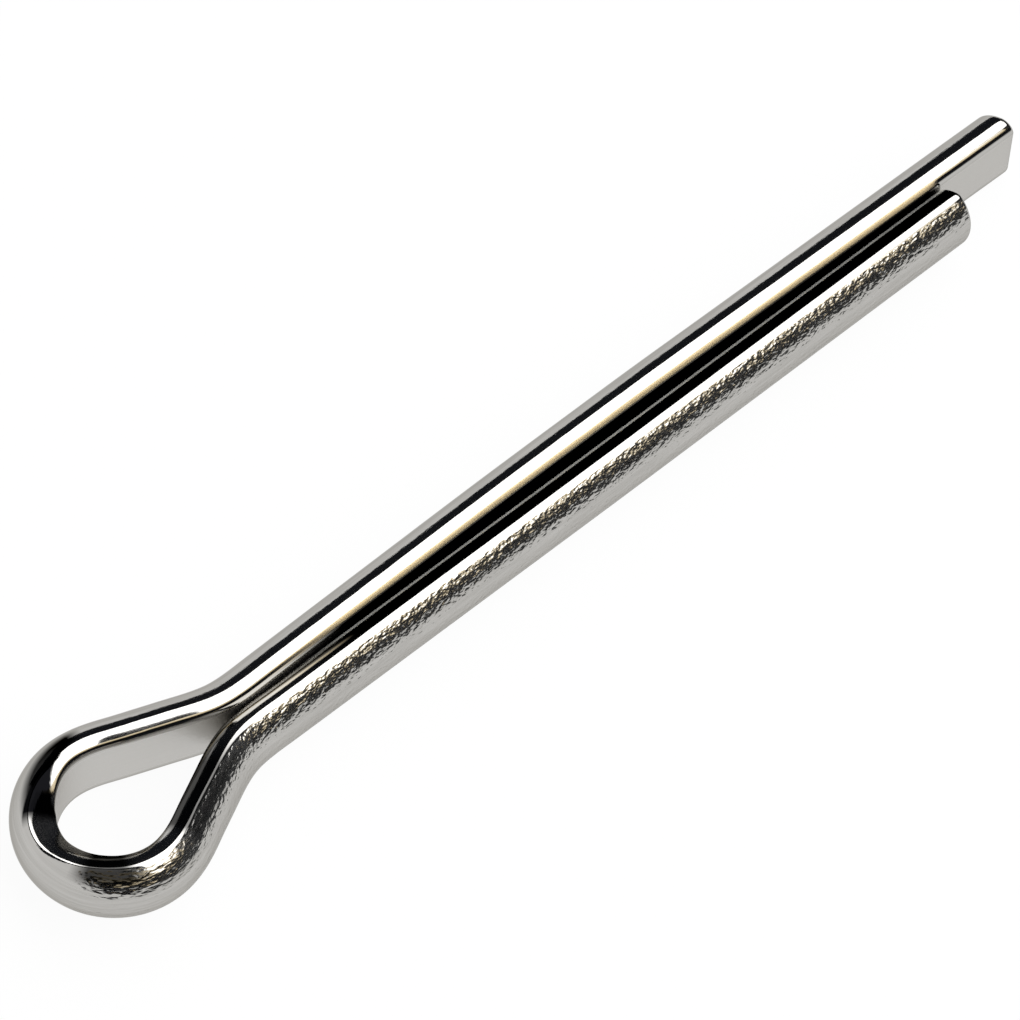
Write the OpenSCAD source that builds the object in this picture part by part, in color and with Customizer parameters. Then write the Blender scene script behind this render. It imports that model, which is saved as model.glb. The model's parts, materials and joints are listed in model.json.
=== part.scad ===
// Split cotter pin with an extended prong, bent from one length of half-round wire.
// The pin lies on its side: the shank runs along +X, the long leg is on the +Y side,
// and the origin is on the shank's axis, where the straight shank leaves the eye's neck.

/* [Wire] */
// Diameter of the closed shank, over both legs
shank_d = 3.76; // [3.4:0.02:4.1]
// Radius of the wire's two inner corners
corner_r = 0.5; // [0.3:0.02:0.6]

/* [Eye] */
// Radius of the eye's inner face
eye_r = 2.3; // [2:0.05:2.6]
// Distance from the start of the shank back to the eye's centre
eye_x = 6.94; // [6.5:0.02:8]
// Sideways shift of the eye's centre, towards the short leg
eye_shift = 0.16; // [0:0.02:0.3]
// Where the eye runs into the flank of the long leg, in degrees from the shank's direction
long_flank = 69.33; // [69.33, 68.791]
// Where the eye runs into the flank of the short leg, in degrees from the shank's direction
short_flank = 63.511; // [63.511, 63.851, 64.307]
// Radius of the neck bend between the eye and each leg, at the wire's flat
neck_r = 5.8; // [4.5:0.1:6.5]

/* [Legs] */
// Length of the short leg, from the start of the shank
short_leg = 36.3; // [34:0.1:40]
// How far the long leg's end stands past the short leg's
prong_extra = 4; // [2:0.1:6]
// Gap between the two flats where the legs lie closed
leg_gap = 0.06; // [0.04:0.01:0.1]

/* [Ends] */
// Rake of the sheared ends, in degrees
end_rake = 4; // [0:0.5:6]
// Width of the rolled edge round the crown of each end
end_edge = 0.14; // [0.06:0.02:0.2]

/* [Hidden] */
$fn = 96;
crown_r = shank_d / 2;
half_gap = leg_gap / 2;
long_leg = short_leg + prong_extra;
// Length of leg that the shear shapes
tail = shank_d;

// Section of the wire: x is the distance from its flat, y runs across the flat.
// The crown's centre is on the shank's axis, half the gap behind the flat.
crown_centre = [-half_gap, 0];
corner_y = sqrt(pow(crown_r - corner_r, 2) - pow(corner_r + half_gap, 2));
corner_centre = [corner_r, corner_y];
// Unit vector from the crown's centre to a corner's, which meets both arcs where they touch
blend_dir = (corner_centre - crown_centre) / (crown_r - corner_r);

// What the rounding takes off one inner corner, between the flat and the crown
module corner_waste() {
    side = 2 * corner_r;
    translate(corner_centre)
        difference() {
            polygon([[0, 0], [-side, 0], [-side, side], side * blend_dir]);
            circle(corner_r);
        }
}

// The half-round section, with its flat on the y axis and its crown towards +x
module wire_section() {
    difference() {
        translate(crown_centre) circle(crown_r);
        translate([-shank_d, -crown_r]) square(shank_d);
        corner_waste();
        mirror([0, 1]) corner_waste();
    }
}

// Straight wire from a point, along a heading, with the crown on its left
module straight(from, heading, length) {
    translate(from)
        rotate([90, 0, 90 + heading])
            linear_extrude(length) wire_section();
}

// Space that a sheared end leaves: its end plane is at x = 0, with a sloped edge round it
module shear_space(depth) {
    rotate([0, -90, 0]) {
        cylinder(h = 2 * end_edge, r1 = crown_r - end_edge, r2 = crown_r + end_edge);
        translate([0, 0, 2 * end_edge]) cylinder(h = depth, r = 2 * crown_r);
    }
}

// One leg at +Y of the shank's axis, from x = 0 to its sheared end
module leg(length) {
    straight([0, half_gap], 0, length - tail);
    intersection() {
        straight([length - tail, half_gap], 0, tail + crown_r);
        translate([length, 0]) rotate([0, end_rake, 0]) shear_space(tail + crown_r);
    }
}

// Flank, neck bend and leg at +Y, built on from the eye: each starts where the last one ends.
// The eye's centre is the origin, and the eye runs into the flank at an angle of flank.
module side(eye_y, flank, leg_end) {
    reach = eye_r + neck_r;
    run = (eye_y + reach * sin(flank) - neck_r - half_gap) / cos(flank);
    neck_x = reach * cos(flank) + run * sin(flank) - eye_x;
    rotate(flank) {
        straight([eye_r, 0], -90, run);
        translate([reach, -run]) {
            rotate(180)
                rotate_extrude(angle = 90 - flank)
                    translate([neck_r, 0]) mirror([1, 0]) wire_section();
            rotate(-flank) translate([0, -neck_r - half_gap]) leg(leg_end - neck_x);
        }
    }
}

// The round of the eye about the origin, from one flank round the back to the other
module eye() {
    rotate(long_flank)
        rotate_extrude(angle = 360 - long_flank - short_flank)
            translate([eye_r, 0]) wire_section();
}

// The whole pin, one bent wire
module cotter_pin() {
    color("silver")
        translate([-eye_x, -eye_shift]) {
            eye();
            side(-eye_shift, long_flank, long_leg);
            mirror([0, 1]) side(eye_shift, short_flank, short_leg);
        }
}

cotter_pin();
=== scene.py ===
import json
import math

import bpy
import numpy as np
from mathutils import Matrix, Vector


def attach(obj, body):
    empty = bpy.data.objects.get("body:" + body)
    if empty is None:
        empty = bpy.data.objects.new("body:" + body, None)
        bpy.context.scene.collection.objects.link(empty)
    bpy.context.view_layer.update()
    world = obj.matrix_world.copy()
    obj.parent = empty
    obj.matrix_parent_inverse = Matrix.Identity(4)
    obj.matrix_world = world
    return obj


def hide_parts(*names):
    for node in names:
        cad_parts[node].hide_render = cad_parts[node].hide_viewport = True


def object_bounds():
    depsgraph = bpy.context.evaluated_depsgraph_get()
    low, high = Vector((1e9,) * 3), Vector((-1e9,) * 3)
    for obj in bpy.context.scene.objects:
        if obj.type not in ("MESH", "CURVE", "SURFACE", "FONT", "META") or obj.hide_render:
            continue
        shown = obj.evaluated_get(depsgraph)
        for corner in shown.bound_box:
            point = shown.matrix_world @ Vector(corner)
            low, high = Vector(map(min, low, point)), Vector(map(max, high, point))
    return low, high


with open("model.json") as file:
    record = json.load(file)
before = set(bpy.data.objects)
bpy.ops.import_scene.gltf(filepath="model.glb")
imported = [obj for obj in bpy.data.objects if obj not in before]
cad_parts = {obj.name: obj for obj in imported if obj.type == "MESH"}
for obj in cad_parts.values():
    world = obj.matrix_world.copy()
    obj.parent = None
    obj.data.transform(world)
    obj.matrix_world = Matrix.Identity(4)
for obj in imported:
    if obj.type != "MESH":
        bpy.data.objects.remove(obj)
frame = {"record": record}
cad_low, cad_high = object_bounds()

MM = 0.001
NODE = "cotter_pin"

# Sizes of the bent wire, in millimetres
SHANK_R = frame["record"]["mounts"][0]["dims"]["r_mm"]
HALF_GAP = 0.03
EYE_R = 2.3
EYE_X = 6.94
EYE_SHIFT = 0.16
LONG_FLANK = math.radians(69.33)
SHORT_FLANK = math.radians(63.511)
NECK_R = 5.8
SHORT_LEG = 36.36
LONG_LEG = 40.34
CORNER_R = 0.5

# Where each leg's flat lies along x, as the sprung legs bow apart and close again at the ends
LONG_SPRING = [(0, 0.03), (11.4, 0.176), (13.8, 0.199), (16.2, 0.205), (20.5, 0.205), (22, 0.198),
               (40.3, -0.054)]
SHORT_SPRING = [(0, 0.03), (14.7, 0.058), (17, 0.061), (19.3, 0.061), (36.3, 0.02)]

# Sheared ends: slope of the end face per millimetre of height and of depth, and its rolled edge
LONG_SHEAR = (0.056, -0.14)
SHORT_SHEAR = (0.179, 0.095)
SHEAR_RUN = 3.0
END_EDGE = 0.18
END_EDGE_STEPS = 6
END_CAP_STEPS = 6

# A place along the wire is the turn about the eye in degrees. From EYE_PLACE to LEG_PLACE it runs along
# the near flank and neck, and on the near leg it is LEG_PLACE + x. The whole far side has FAR_PLACE.
FAR_PLACE = 0
EYE_PLACE = 300
NECK_PLACE = 335
LEG_PLACE = 360

# The near side's inner top corner is worn to a slope of four arcs: ridge, slope, foot and edge of the flat.
# The angles where the arcs end, in degrees, and their radii and the share of the wear by place
ARC_ENDS = [109.5, 126, 150, 180]
SLOPE_SHARE = [(116, 0), (142, 1)]
RIDGE_R = [(146, 0.08), (158, 0.55), (193, 0.55), (206, 0.10), (240, 0.10), (252, 0.32), (284, 0.32),
           (295, 0.12), (335, 0.16), (352, 0.30), (365, 0.35)]
SLOPE_R = [(146, 4.6), (156, 3.8), (195, 3.2), (240, 2.6), (284, 2.4), (335, 2.6), (365, 2.0)]
FOOT_R = [(150, 0.1), (240, 0.12), (300, 0.2), (340, 0.35), (362, 0.8)]
EDGE_R = 0.12

# Stations that the rounding of the path and of the radii spans
SMOOTHING = 21

# How strongly the crown is pebbled, by place
PEBBLES = [(100, 0.06), (196, 0.1), (208, 1.0)]

# Painted dark reflections by place: on the top corner, from a depth on, and on the crown, above a height
DARK_REFLECTION_TOP = [(80, 0), (90, 1), (148, 1), (156, 0), (199, 0), (211, 0.9), (238, 0.9), (250, 0), (286, 0),
            (297, 0.85), (330, 0.85), (350, 0)]
DARK_REFLECTION_FROM = [(90, 0.68), (100, 0.6), (110, 0.5), (120, 0.36), (130, 0.22), (140, 0.1), (148, 0)]
DARK_REFLECTION_FADE = 0.05
DARK_REFLECTION_CROWN = [(72, 0), (84, 0.95), (148, 0.95), (157, 0), (199, 0), (211, 0.92), (243, 0.92), (255, 0),
              (290, 0), (299, 0.6), (325, 0.6), (345, 0)]
DARK_REFLECTION_FOOT = [(150, 1.19), (195, 1.1)]
DARK_REFLECTION_RISE = [(0, 0), (0.3, 1)]

# Beside the closed legs' gap, by depth from the flat: the far leg's painted shade and painted warm
# reflection, and the near leg's satin foot with a painted sheen and its slope painted dark as a reflection,
# with the stretch of x where the legs are closed
PAINTED_GAP_SHADE = [(0.04, 1), (0.07, 0)]
WARM_REFLECTION_DEPTHS = [(0.04, 0), (0.07, 1), (0.17, 1), (0.24, 0)]
SATIN_SHEEN = [(0.18, 1), (0.25, 0)]
SLOPE_DARK_REFLECTION = [(0.2, 0), (0.26, 1), (0.74, 1), (0.79, 0)]
CLOSED_FAR = [(1, 0), (5, 1), (36.1, 1), (36.4, 0)]
CLOSED_NEAR = [(1, 0), (5, 1)]

# Mesh fineness: wire stations in millimetres, and points round the section's arcs
STEP = 0.1
LEG_STRIDE = 3
BENT_TO = 2.0
CROWN_POINTS = 56
CORNER_POINTS = 28
FLAT_POINTS = 20

# Zones round the section
ZONE_FLAT = 0.0
ZONE_CORNER = 0.5
ZONE_CROWN = 1.0
SECTION_ZONE = np.repeat([ZONE_FLAT, ZONE_CORNER, ZONE_CROWN, ZONE_CORNER],
                         [FLAT_POINTS, CORNER_POINTS, CROWN_POINTS, CORNER_POINTS])

# The steel's tones, from the bare crown to the finishes over it, and the painted warm reflection, sheen,
# shade and dark reflections
STREAK_STOPS = [(0.3, (0.43, 0.42, 0.40, 1)), (0.7, (0.51, 0.50, 0.48, 1))]
FLAT_TONE = (0.60, 0.59, 0.57, 1)
FLAT_SHARE = 0.8
# Painted warm reflection on the far leg's edge beside the gap
WARM_REFLECTION_TONE = (1.0, 0.83, 0.53, 1)
# Satin foot, lightened as a painted sheen
SATIN_SHEEN_TONE = (0.85, 0.85, 0.81, 1)
# Near black, painted as shade between the closed legs and as dark reflections
PAINTED_DARK_TONE = (0.003, 0.003, 0.0035, 1)
GRAZING_TONE = (0.62, 0.61, 0.59, 1)
# Edge tint under the same painted shade and dark reflections
PAINTED_DARK_GRAZING_TONE = (0.03, 0.03, 0.03, 1)

# Roughness of the bare steel, and what each finish adds to it
BARE_ROUGH = 0.06
PEBBLE_ROUGH = 0.09
FLAT_ROUGH = 0.22
STREAK_ROUGH = 0.04
SATIN_ROUGH = 0.5
# Added where the warm reflection is painted
WARM_REFLECTION_ROUGH = 0.38

# Grain: the noise's scales along the wire and across it, per millimetre, with its detail and roughness,
# and heights as shares of the grain's depth
PEBBLE_NOISE = ((4.0, 6.0, 6.0), 1.5, 0.5)
STREAK_NOISE = ((0.35, 7.0, 7.0), 3.0, 0.6)
NOISE_MEAN = 0.5
FLAT_GRAIN = 0.2
STREAK_GRAIN = 0.06
GRAIN_STRENGTH = 0.5
GRAIN_DEPTH = 0.09 * MM

# Camera, aimed at the middle of the picture
CAMERA_AIM = Vector((12.54, -1.20, 3.74)) * MM
CAMERA_AZIMUTH = math.radians(-42.40)
CAMERA_ELEVATION = math.radians(60.18)
CAMERA_ROLL = math.radians(1.838)
CAMERA_DISTANCE = 537.5 * MM
CAMERA_LENS = 481.85
CAMERA_SENSOR = 36.0
CAMERA_CLIP = (0.01, 20.0)

# Floor, in metres: half its width, its tone and how much of its own light it shows
FLOOR_HALF = 4.0
FLOOR_TONE = (0.9, 0.9, 0.9, 1)
FLOOR_GLOW = 0.95
WHITE = (1, 1, 1, 1)

# Softbox: its height, side and where its edge crosses the x axis, in metres, its turn and brightness
SOFTBOX_HEIGHT = 0.75
SOFTBOX_SIDE = 3.0
SOFTBOX_EDGE = 0.086
SOFTBOX_TURN = math.radians(-12)
SOFTBOX_RADIANCE = 2.4

# World: how bright it is where it is seen, and as light on the floor
WORLD_SEEN = 1.0
WORLD_FILL = 0.25

# Dark cards, in metres from the pin's ends. By azimuth from +X, in degrees: the elevations of their tops
# and feet, and the share of the front's colours. A foot below the horizon lies on the floor.
CARD_R = 0.6
CARD_AZIMUTHS = np.arange(-160, 103, 2.5)
CARD_TOPS = [(-160, 50), (-115, 44), (-90, 40), (-62, 41), (-50, 60), (20, 62), (40, 52), (57, 37),
             (69, 36), (76, 52), (102, 62)]
CARD_FEET = [(-160, 20), (-130, -3), (-100, -12), (-40, -12), (0, -5), (60, -6.5), (72, -6.5), (80, 4),
             (92, 17), (102, 25)]
CARD_FRONTS = [(-60, 1), (-48, 0)]
# The height on the pin that sees the feet, the end of the feet's shading, the cards' lift off the floor,
# and how far inside the eye's end their centre is
SEEN_FROM = 0.0034
SHADED_TO = 0.1
CARD_LIFT = 0.0003
EYE_INSET = 0.004
# Places in the cards' colours for the foot, the end of its shading, the wall's bottom and its top
BACK_RISE = np.array([0.6, 0.6, 0.6, 0.7])
FRONT_RISE = np.array([0.0, 0.5, 0.6, 1.0])
# The cards emit these colours; the warm rim at the top glows brighter than white
CARD_STOPS = [(0.0, (0.7, 0.7, 0.67, 1)), (0.3, (0.14, 0.15, 0.17, 1)), (0.5, (0.02, 0.022, 0.028, 1)),
              (0.84, (0.0, 0.0, 0.0, 1)), (0.87, (1.0, 0.82, 0.52, 1)), (1.0, (1.7, 1.5, 1.1, 1))]
# A dark strip along the softbox's edge, just below it
STRIP_WIDTH = 0.16
STRIP_HALF = 1.5
STRIP_DROP = 0.01


# The wire's section

def arc(centre, radius, first, last, count):
    """Points of an arc, without its last one."""
    angles = np.linspace(first, last, count, endpoint=False)
    return np.stack([centre[0] + radius * np.cos(angles), centre[1] + radius * np.sin(angles)], 1)


def slope_corner(radii):
    """Points of the worn corner from crown to flat, the angle where the crown ends, and the flat's top."""
    cosines = np.cos(np.radians(ARC_ENDS))
    depth = radii[0] * cosines[0] + np.sum(radii[1:] * np.diff(cosines))
    crown_end = math.acos((HALF_GAP - depth) / (SHANK_R - radii[0]))
    count = CORNER_POINTS // len(ARC_ENDS)
    start = crown_end
    centre = np.array([-HALF_GAP, 0]) + (SHANK_R - radii[0]) * np.array([math.cos(start), math.sin(start)])
    points = []
    for i, end in enumerate(np.radians(ARC_ENDS)):
        points.append(arc(centre, radii[i], start, end, count))
        if i + 1 < len(radii):
            centre = centre + (radii[i] - radii[i + 1]) * np.array([math.cos(end), math.sin(end)])
        start = end
    return np.concatenate(points), crown_end, centre[1]


def wire_section(share, radii):
    """Points round the half-round section, as (depth from the flat, height)."""
    corner_z = math.sqrt((SHANK_R - CORNER_R) ** 2 - (CORNER_R + HALF_GAP) ** 2)
    blend = math.atan2(corner_z, CORNER_R + HALF_GAP)
    worn, worn_end, worn_top = slope_corner(radii)
    rounded = arc((CORNER_R, corner_z), CORNER_R, blend, math.pi, CORNER_POINTS)
    flat_z = np.linspace(corner_z + share * (worn_top - corner_z), -corner_z, FLAT_POINTS, endpoint=False)
    return np.concatenate([
        np.stack([np.zeros_like(flat_z), flat_z], 1),
        arc((CORNER_R, -corner_z), CORNER_R, -math.pi, -blend, CORNER_POINTS),
        arc((-HALF_GAP, 0), SHANK_R, -blend, blend + share * (worn_end - blend), CROWN_POINTS),
        rounded + share * (worn - rounded),
    ])


# The wire's path, from the long leg's end through the eye to the short leg's end

def table(places, pairs):
    """Values at some places from a list of (place, value) pairs."""
    return np.interp(places, [place for place, _ in pairs], [value for _, value in pairs])


def smooth(values):
    """Values along the wire with their corners rounded; the ends stay as they are."""
    half = SMOOTHING // 2
    padded = np.concatenate([
        2 * values[0] - values[half:0:-1],
        values,
        2 * values[-1] - values[-2:-half - 2:-1],
    ])
    return np.convolve(padded, np.full(SMOOTHING, 1 / SMOOTHING), mode="valid")


def ease(vectors):
    """Vectors along the wire with their corners rounded, without making the bends smaller."""
    once = np.stack([smooth(values) for values in vectors.T], 1)
    twice = np.stack([smooth(values) for values in once.T], 1)
    return 2 * once - twice


def spokes(turns):
    """Unit vectors at some angles."""
    return np.stack([np.cos(turns), np.sin(turns)], 1)


def half_path(eye_y, flank, leg_end, spring):
    """One side at +Y, from its leg's end to the eye: middle line of the flat, crown directions, places."""
    reach = EYE_R + NECK_R
    run = (eye_y + reach * math.sin(flank) - NECK_R - HALF_GAP) / math.cos(flank)
    neck_x = reach * math.cos(flank) + run * math.sin(flank) - EYE_X
    leg_x = np.linspace(leg_end, neck_x, int((leg_end - neck_x) / STEP), endpoint=False)
    leg = np.stack([leg_x, table(leg_x, spring)], 1)
    leg_out = np.tile([0.0, 1.0], (len(leg), 1))

    neck_steps = int(NECK_R * (math.pi / 2 - flank) / STEP)
    neck_spokes = spokes(np.linspace(1.5 * math.pi, math.pi + flank, neck_steps, endpoint=False))
    neck_centre = np.array([neck_x, HALF_GAP + NECK_R])
    neck = neck_centre + NECK_R * neck_spokes

    out = np.array([math.cos(flank), math.sin(flank)])
    start = neck_centre - NECK_R * out
    finish = np.array([-EYE_X, eye_y]) + EYE_R * out
    shares = np.linspace(0, 1, int(run / STEP), endpoint=False)
    straight = start + shares[:, None] * (finish - start)

    line = np.concatenate([leg, neck, straight])
    outs = np.concatenate([leg_out, -neck_spokes, np.tile(out, (len(straight), 1))])
    places = np.concatenate([
        LEG_PLACE + leg_x,
        np.linspace(LEG_PLACE, NECK_PLACE, len(neck)),
        NECK_PLACE - (NECK_PLACE - EYE_PLACE) * shares,
    ])
    return line, outs, places


def wire_path():
    """The flat's middle line, crown directions and places along the whole wire."""
    far, far_out, far_places = half_path(-EYE_SHIFT, LONG_FLANK, LONG_LEG, LONG_SPRING)
    near, near_out, near_places = half_path(EYE_SHIFT, SHORT_FLANK, SHORT_LEG, SHORT_SPRING)
    flip = np.array([1.0, -1.0])
    sweep = 2 * math.pi - LONG_FLANK - SHORT_FLANK
    turns = np.linspace(LONG_FLANK, LONG_FLANK + sweep, int(EYE_R * sweep / STEP) + 1)
    eye_out = spokes(turns)
    eye = np.array([-EYE_X, -EYE_SHIFT]) + EYE_R * eye_out
    line = ease(np.concatenate([far, eye, near[::-1] * flip]))
    outs = ease(np.concatenate([far_out, eye_out, near_out[::-1] * flip]))
    outs /= np.linalg.norm(outs, axis=1)[:, None]
    places = np.concatenate([np.full_like(far_places, FAR_PLACE), np.degrees(turns), near_places[::-1]])
    return line, outs, places


# The wire's mesh

def stations():
    """Points on the flat's middle line, crown directions, lengths along the wire, places and sections."""
    line, outs, places = wire_path()
    steps = np.linalg.norm(np.diff(line, axis=0), axis=1)
    along = np.concatenate([[0], np.cumsum(steps)])
    shares = smooth(table(places, SLOPE_SHARE))
    radii = [smooth(table(places, values)) for values in (RIDGE_R, SLOPE_R, FOOT_R)]
    radii = np.stack(radii + [np.full(len(places), EDGE_R)], 1)

    # The straight legs need fewer stations than the bends
    kept = (line[:, 0] < BENT_TO) | (np.arange(len(line)) % LEG_STRIDE == 0)
    kept[[0, -1]] = True
    sections = [wire_section(share, arcs) for share, arcs in zip(shares[kept], radii[kept])]
    return line[kept], outs[kept], along[kept], places[kept], sections


def end_rings(point, out, section):
    """Rings that roll an end's edge over and close it, as (point, crown direction, step on, section)."""
    middle = section.mean(0)
    size = np.abs(section - middle).max()
    rings = []
    for i in range(1, END_EDGE_STEPS + 1):
        angle = i / END_EDGE_STEPS * math.pi / 2
        inset = END_EDGE * (1 - math.cos(angle))
        rings.append((middle + (section - middle) * (1 - inset / size), END_EDGE * math.sin(angle)))
    edge, reach = rings[-1]
    for i in range(1, END_CAP_STEPS):
        share = 1 - i / END_CAP_STEPS
        rings.append((middle + (edge - middle) * share, reach))
    return [(point + [step, 0], out, step, ring) for ring, step in rings]


def wire_rings():
    """All rings, as (point, crown direction, length along the wire, section), and their places."""
    line, outs, along, places, sections = stations()
    first = [(point, out, -step, ring)
             for point, out, step, ring in end_rings(line[0], outs[0], sections[0])]
    last = [(point, out, along[-1] + step, ring)
            for point, out, step, ring in end_rings(line[-1], outs[-1], sections[-1])]
    rings = first[::-1] + list(zip(line, outs, along, sections)) + last
    return rings, np.pad(places, (len(first), len(last)), mode="edge")


def ring_points(point, out, section):
    """A ring's points in the part's frame. Near a leg's end they slide to the slope of its sheared face."""
    shear, end = (LONG_SHEAR, LONG_LEG) if out[1] > 0 else (SHORT_SHEAR, SHORT_LEG)
    depth, height = section.T
    share = np.clip((point[0] - (end - SHEAR_RUN)) / SHEAR_RUN, 0, 1)
    slide = share * (shear[0] * height + shear[1] * depth - END_EDGE)
    return np.stack([point[0] + out[0] * depth + slide, point[1] + out[1] * depth, height], 1)


def with_caps(rings):
    """The points of all rings, and then the middles of the first and the last ring."""
    return np.concatenate(rings + [np.array([rings[0].mean(0), rings[-1].mean(0)])])


def ring_faces(rings, count):
    """Quads between neighbouring rings of count points, and a fan at each end."""
    faces = []
    for i in range(rings - 1):
        a = i * count
        b = a + count
        for j in range(count):
            k = (j + 1) % count
            faces.append((a + j, a + k, b + k, b + j))
    base = (rings - 1) * count
    first_cap = rings * count
    for j in range(count):
        k = (j + 1) % count
        faces.append((first_cap, k, j))
        faces.append((first_cap + 1, base + j, base + k))
    return faces


def finishes_and_painted_light(places, verts, wire, zones):
    """How far each point is pebbled, painted dark as shade and as dark reflections, painted with a warm
    reflection, and worn satin with a painted sheen.
    """
    depth, height = wire[:, 1], wire[:, 2]
    flat, crown = zones == ZONE_FLAT, zones == ZONE_CROWN
    top_corner = (height > 0) * (zones == ZONE_CORNER)
    far = (places == FAR_PLACE) * table(verts[:, 0], CLOSED_FAR)
    near = (places > EYE_PLACE) * table(verts[:, 0], CLOSED_NEAR)
    near_slope = near * top_corner
    deep = np.clip(1 + (depth - table(places, DARK_REFLECTION_FROM)) / DARK_REFLECTION_FADE, 0, 1)
    high = table(height - table(places, DARK_REFLECTION_FOOT), DARK_REFLECTION_RISE)
    # Painted dark reflections on the eye's top corner and crown
    painted_dark_reflection = top_corner * table(places, DARK_REFLECTION_TOP) * deep + crown * table(places, DARK_REFLECTION_CROWN) * high
    # Painted shade beside the closed legs' gap and on the near leg's flat, and a painted dark reflection on
    # the near slope
    painted_dark = far * table(depth, PAINTED_GAP_SHADE) + near_slope * table(depth, SLOPE_DARK_REFLECTION) + near * flat
    return {
        "pebble": table(places, PEBBLES),
        "painted_dark": np.maximum(painted_dark, painted_dark_reflection),
        # Painted warm reflection on the far leg's top edge
        "painted_warm_reflection": far * (height > 0) * table(depth, WARM_REFLECTION_DEPTHS),
        # Satin wear on the near slope, with a painted sheen
        "satin_and_sheen": near_slope * table(depth, SATIN_SHEEN),
    }


def add_layer(mesh, name, values):
    """Store one value for each point of a mesh."""
    layer = mesh.attributes.new(name, "FLOAT", "POINT")
    layer.data.foreach_set("value", np.asarray(values, np.float32))


def build_wire():
    """The pin as one swept mesh, with its wire coordinates, zones, finishes and painted light kept as
    attributes.
    """
    rings, ring_places = wire_rings()
    count = len(SECTION_ZONE)
    verts = with_caps([ring_points(point, out, section) for point, out, _, section in rings])
    wire = with_caps([np.column_stack([np.full(count, along), section]) for _, _, along, section in rings])
    zones = np.concatenate([np.tile(SECTION_ZONE, len(rings)), [ZONE_FLAT, ZONE_FLAT]])
    places = np.concatenate([np.repeat(ring_places, count), ring_places[[0, -1]]])

    mesh = bpy.data.meshes.new("cotter_pin_wire")
    mesh.from_pydata((verts * MM).tolist(), [], ring_faces(len(rings), count))
    mesh.validate()
    mesh.polygons.foreach_set("use_smooth", [True] * len(mesh.polygons))
    coords = mesh.attributes.new("wire", "FLOAT_VECTOR", "POINT")
    coords.data.foreach_set("vector", wire.astype(np.float32).ravel())
    add_layer(mesh, "zone", zones)
    for name, values in finishes_and_painted_light(places, verts, wire, zones).items():
        add_layer(mesh, name, values)
    pin = bpy.data.objects.new("cotter_pin_wire", mesh)
    bpy.context.scene.collection.objects.link(pin)
    return pin


# Materials

class Nodes:
    """Small helper for adding and linking shader nodes."""

    def __init__(self, tree):
        self.tree = tree
        tree.nodes.clear()

    def add(self, kind, inputs=None, **settings):
        node = self.tree.nodes.new(kind)
        for name, value in settings.items():
            setattr(node, name, value)
        for name, value in (inputs or {}).items():
            if isinstance(value, bpy.types.NodeSocket):
                self.tree.links.new(value, node.inputs[name])
            else:
                node.inputs[name].default_value = value
        return node

    def attribute(self, name, output="Fac"):
        return self.add("ShaderNodeAttribute", attribute_name=name).outputs[output]

    def maths(self, operation, a, b=0.0, c=0.0):
        return self.add("ShaderNodeMath", {0: a, 1: b, 2: c}, operation=operation).outputs[0]

    def mix(self, share, a, b):
        return self.add("ShaderNodeMix", {0: share, 6: a, 7: b}, data_type="RGBA").outputs[2]

    def noise(self, place, scale, detail, roughness):
        mapped = self.add("ShaderNodeMapping", {"Vector": place, "Scale": scale}).outputs[0]
        inputs = {"Vector": mapped, "Scale": 1.0, "Detail": detail, "Roughness": roughness}
        return self.add("ShaderNodeTexNoise", inputs).outputs["Fac"]

    def span(self, value, first, last):
        inputs = {"Value": value, "From Min": first, "From Max": last}
        return self.add("ShaderNodeMapRange", inputs).outputs[0]

    def ramp(self, value, stops):
        node = self.add("ShaderNodeValToRGB", {"Fac": value})
        elements = node.color_ramp.elements
        while len(elements) < len(stops):
            elements.new(0.5)
        for element, (position, color) in zip(elements, stops):
            element.position = position
            element.color = color
        return node.outputs["Color"]

    def emission(self, color):
        return self.add("ShaderNodeEmission", {"Color": color, "Strength": 1.0}).outputs[0]


def new_material(name):
    """An empty material and its nodes."""
    material = bpy.data.materials.new(name)
    material.use_nodes = True
    return material, Nodes(material.node_tree)


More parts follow.
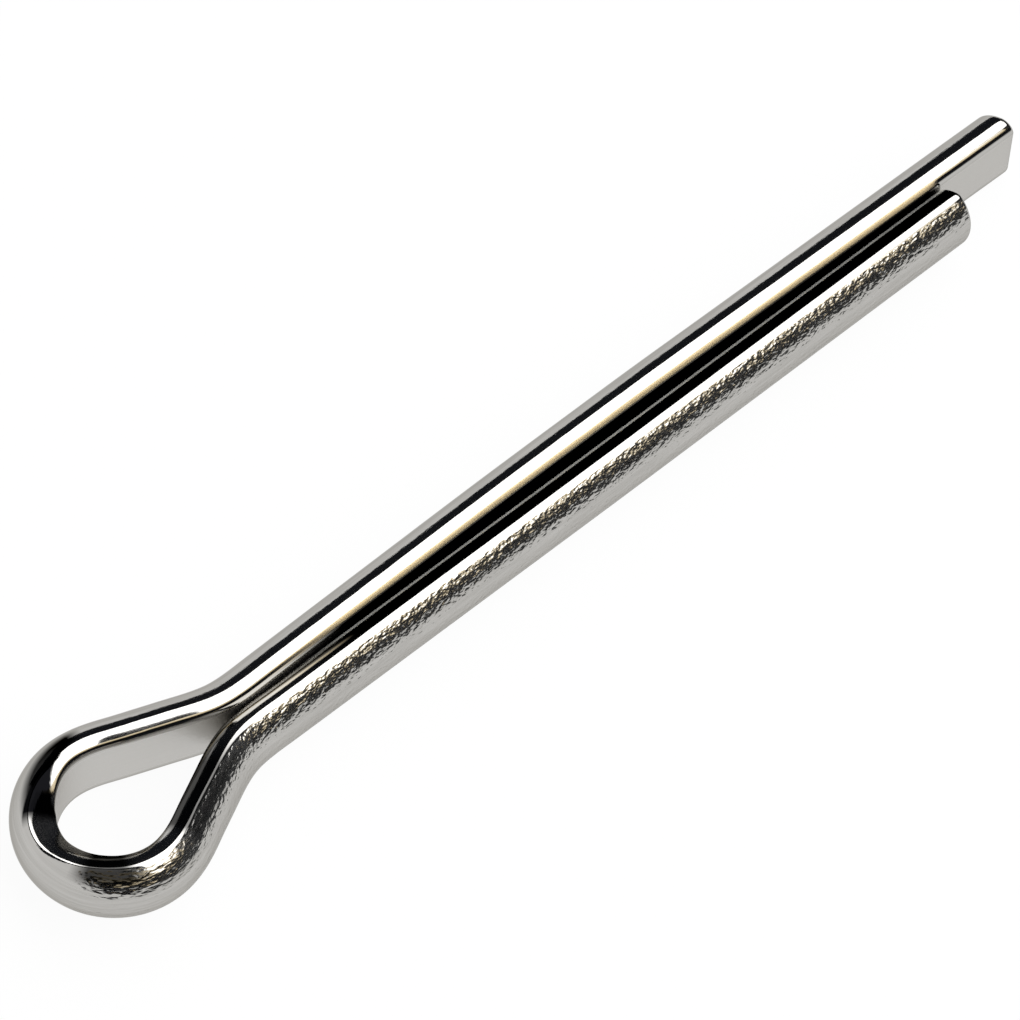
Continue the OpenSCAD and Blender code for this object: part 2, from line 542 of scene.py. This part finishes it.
def steel():
    """Bright plated steel: smooth corners, pebbled crown and satin flat, with painted shade, painted dark
    and warm reflections and a painted sheen.
    """
    material, n = new_material("bright_steel")
    wire = n.attribute("wire", "Vector")
    zone = n.attribute("zone")
    pebble, painted_dark, painted_warm_reflection, satin_and_sheen = (n.attribute(name) for name in ("pebble", "painted_dark", "painted_warm_reflection", "satin_and_sheen"))
    crown = n.span(zone, ZONE_CORNER, ZONE_CROWN)
    flat = n.span(zone, ZONE_CORNER, ZONE_FLAT)
    pebbles = n.noise(wire, *PEBBLE_NOISE)
    streaks = n.noise(wire, *STREAK_NOISE)

    color = n.mix(n.maths("MULTIPLY", flat, FLAT_SHARE), n.ramp(streaks, STREAK_STOPS), FLAT_TONE)
    # Painted warm reflection, satin with a painted sheen, and painted shade and dark reflections over the
    # steel's tones
    color = n.mix(painted_warm_reflection, color, WARM_REFLECTION_TONE)
    color = n.mix(satin_and_sheen, color, SATIN_SHEEN_TONE)
    color = n.mix(painted_dark, color, PAINTED_DARK_TONE)
    grazing = n.mix(painted_dark, GRAZING_TONE, PAINTED_DARK_GRAZING_TONE)

    rough = n.maths("MULTIPLY_ADD", n.maths("MULTIPLY", crown, pebble), PEBBLE_ROUGH, BARE_ROUGH)
    rough = n.maths("MULTIPLY_ADD", flat, FLAT_ROUGH, rough)
    rough = n.maths("MULTIPLY_ADD", streaks, STREAK_ROUGH, rough)
    rough = n.maths("MULTIPLY_ADD", satin_and_sheen, SATIN_ROUGH, rough)
    rough = n.maths("MULTIPLY_ADD", painted_warm_reflection, WARM_REFLECTION_ROUGH, rough)

    # The noise's mean is taken off, so that smooth steel is level with the pebbles
    cells = n.maths("SUBTRACT", pebbles, NOISE_MEAN)
    grain = n.maths("MULTIPLY", n.maths("MULTIPLY", cells, crown), pebble)
    grain = n.maths("MULTIPLY_ADD", n.maths("MULTIPLY", cells, flat), FLAT_GRAIN, grain)
    grain = n.maths("MULTIPLY_ADD", streaks, STREAK_GRAIN, grain)
    bump = n.add("ShaderNodeBump", {"Height": grain, "Strength": GRAIN_STRENGTH, "Distance": GRAIN_DEPTH})
    surface = n.add("ShaderNodeBsdfPrincipled", {
        "Base Color": color, "Metallic": 1.0, "Roughness": rough, "Normal": bump.outputs[0],
        "Specular Tint": grazing})
    n.add("ShaderNodeOutputMaterial", {"Surface": surface.outputs[0]})
    return material


def seen_ray(n):
    """1 for rays from the camera and for those that metal or glass sends on, and 0 for the rest."""
    path = n.add("ShaderNodeLightPath")
    seen = n.maths("MAXIMUM", path.outputs["Is Camera Ray"], path.outputs["Is Glossy Ray"])
    return n.maths("MAXIMUM", seen, path.outputs["Is Transmission Ray"])


def floor_material():
    """Pale floor, white where it is seen, which keeps the pin's shadow."""
    material, n = new_material("pale_floor")
    lit = n.add("ShaderNodeBsdfDiffuse", {"Color": FLOOR_TONE}).outputs[0]
    share = n.maths("MULTIPLY", seen_ray(n), FLOOR_GLOW)
    mix = n.add("ShaderNodeMixShader", {0: share, 1: lit, 2: n.emission(WHITE)}).outputs[0]
    n.add("ShaderNodeOutputMaterial", {"Surface": mix})
    return material


def card_material():
    """Black card, with a warm rim at its top and a grey foot in front, all emitted, so that the rim glows
    brighter than white.
    """
    material, n = new_material("dark_card")
    color = n.ramp(n.attribute("rise"), CARD_STOPS)
    n.add("ShaderNodeOutputMaterial", {"Surface": n.emission(color)})
    return material


# Stage

def mesh_object(name, verts, faces, material):
    """A new object in the scene, with one material."""
    mesh = bpy.data.meshes.new(name)
    mesh.from_pydata(verts, [], faces)
    mesh.materials.append(material)
    obj = bpy.data.objects.new(name, mesh)
    bpy.context.scene.collection.objects.link(obj)
    return obj


def build_floor():
    """A wide floor under the pin."""
    z = cad_low.z
    half = FLOOR_HALF
    corners = [(-half, -half, z), (half, -half, z), (half, half, z), (-half, half, z)]
    floor = mesh_object("floor", corners, [(0, 1, 2, 3)], floor_material())


def card_column(azimuth):
    """Four points of the cards at one azimuth, from the foot to the top."""
    turn = math.radians(azimuth)
    level = (math.cos(turn), math.sin(turn))
    end = cad_high.x if level[0] > 0 else cad_low.x + EYE_INSET
    foot = math.radians(table(azimuth, CARD_FEET))
    top = CARD_R * math.tan(math.radians(table(azimuth, CARD_TOPS)))
    if foot < 0:
        low = cad_low.z + CARD_LIFT
        reaches = (SEEN_FROM / math.tan(-foot), SHADED_TO, CARD_R, CARD_R)
    else:
        low = CARD_R * math.tan(foot)
        reaches = (CARD_R, CARD_R, CARD_R, CARD_R)
    heights = (low, low, low, top)
    return [(end + r * level[0], r * level[1], z) for r, z in zip(reaches, heights)]


def build_flags():
    """Dark cards round the pin, which only its reflections show; the eye's end stays open."""
    rows = len(BACK_RISE)
    verts, faces, rise = [], [], []
    for azimuth in CARD_AZIMUTHS:
        verts.extend(card_column(azimuth))
        rise.extend(BACK_RISE + table(azimuth, CARD_FRONTS) * (FRONT_RISE - BACK_RISE))
    for i in range(len(CARD_AZIMUTHS) - 1):
        for row in range(rows - 1):
            a = rows * i + row
            b = a + rows
            faces.append((a, b, b + 1, a + 1))

    turn = Matrix.Rotation(SOFTBOX_TURN, 3, "Z")
    edge = Vector((SOFTBOX_EDGE, 0, SOFTBOX_HEIGHT - STRIP_DROP))
    strip = ((-STRIP_WIDTH, -STRIP_HALF), (0, -STRIP_HALF), (0, STRIP_HALF), (-STRIP_WIDTH, STRIP_HALF))
    faces.append(tuple(range(len(verts), len(verts) + len(strip))))
    verts.extend(tuple(edge + turn @ Vector((x, y, 0))) for x, y in strip)
    rise.extend([BACK_RISE[-1]] * len(strip))

    flags = mesh_object("dark_cards", verts, faces, card_material())
    add_layer(flags.data, "rise", rise)
    flags.visible_camera = False
    flags.visible_diffuse = False
    flags.visible_shadow = False


def build_light():
    """One large softbox overhead and a low even world."""
    softbox = bpy.data.lights.new("softbox", "AREA")
    softbox.shape = "RECTANGLE"
    softbox.size = SOFTBOX_SIDE
    softbox.size_y = SOFTBOX_SIDE
    softbox.energy = SOFTBOX_RADIANCE * math.pi * SOFTBOX_SIDE ** 2
    lamp = bpy.data.objects.new("softbox", softbox)
    turn = Matrix.Rotation(SOFTBOX_TURN, 4, "Z")
    edge = Matrix.Translation((SOFTBOX_EDGE, 0, SOFTBOX_HEIGHT))
    lamp.matrix_world = edge @ turn @ Matrix.Translation((SOFTBOX_SIDE / 2, 0, 0))
    bpy.context.scene.collection.objects.link(lamp)
    lamp.visible_camera = False

    world = bpy.data.worlds.new("studio")
    world.use_nodes = True
    bpy.context.scene.world = world
    n = Nodes(world.node_tree)
    seen = n.add("ShaderNodeBackground", {"Color": WHITE, "Strength": WORLD_SEEN}).outputs[0]
    fill = n.add("ShaderNodeBackground", {"Color": WHITE, "Strength": WORLD_FILL}).outputs[0]
    mix = n.add("ShaderNodeMixShader", {0: seen_ray(n), 1: fill, 2: seen}).outputs[0]
    n.add("ShaderNodeOutputWorld", {"Surface": mix})


def build_camera():
    """The photo's camera, which looks down along the pin from beside its eye."""
    data = bpy.data.cameras.new("camera")
    data.lens = CAMERA_LENS
    data.sensor_width = CAMERA_SENSOR
    data.clip_start, data.clip_end = CAMERA_CLIP
    camera = bpy.data.objects.new("camera", data)
    level = math.cos(CAMERA_ELEVATION)
    back = Vector((math.sin(CAMERA_AZIMUTH) * level, -math.cos(CAMERA_AZIMUTH) * level,
                   math.sin(CAMERA_ELEVATION)))
    look = (-back).to_track_quat("-Z", "Y").to_matrix() @ Matrix.Rotation(CAMERA_ROLL, 3, "Z")
    camera.matrix_world = Matrix.Translation(CAMERA_AIM + back * CAMERA_DISTANCE) @ look.to_4x4()
    bpy.context.scene.collection.objects.link(camera)
    bpy.context.scene.camera = camera


# The part
pin = build_wire()
pin.data.materials.append(steel())
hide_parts(NODE)
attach(pin, "root")

build_floor()
build_flags()
build_light()
build_camera()
bpy.context.scene.view_settings.view_transform = "Standard"
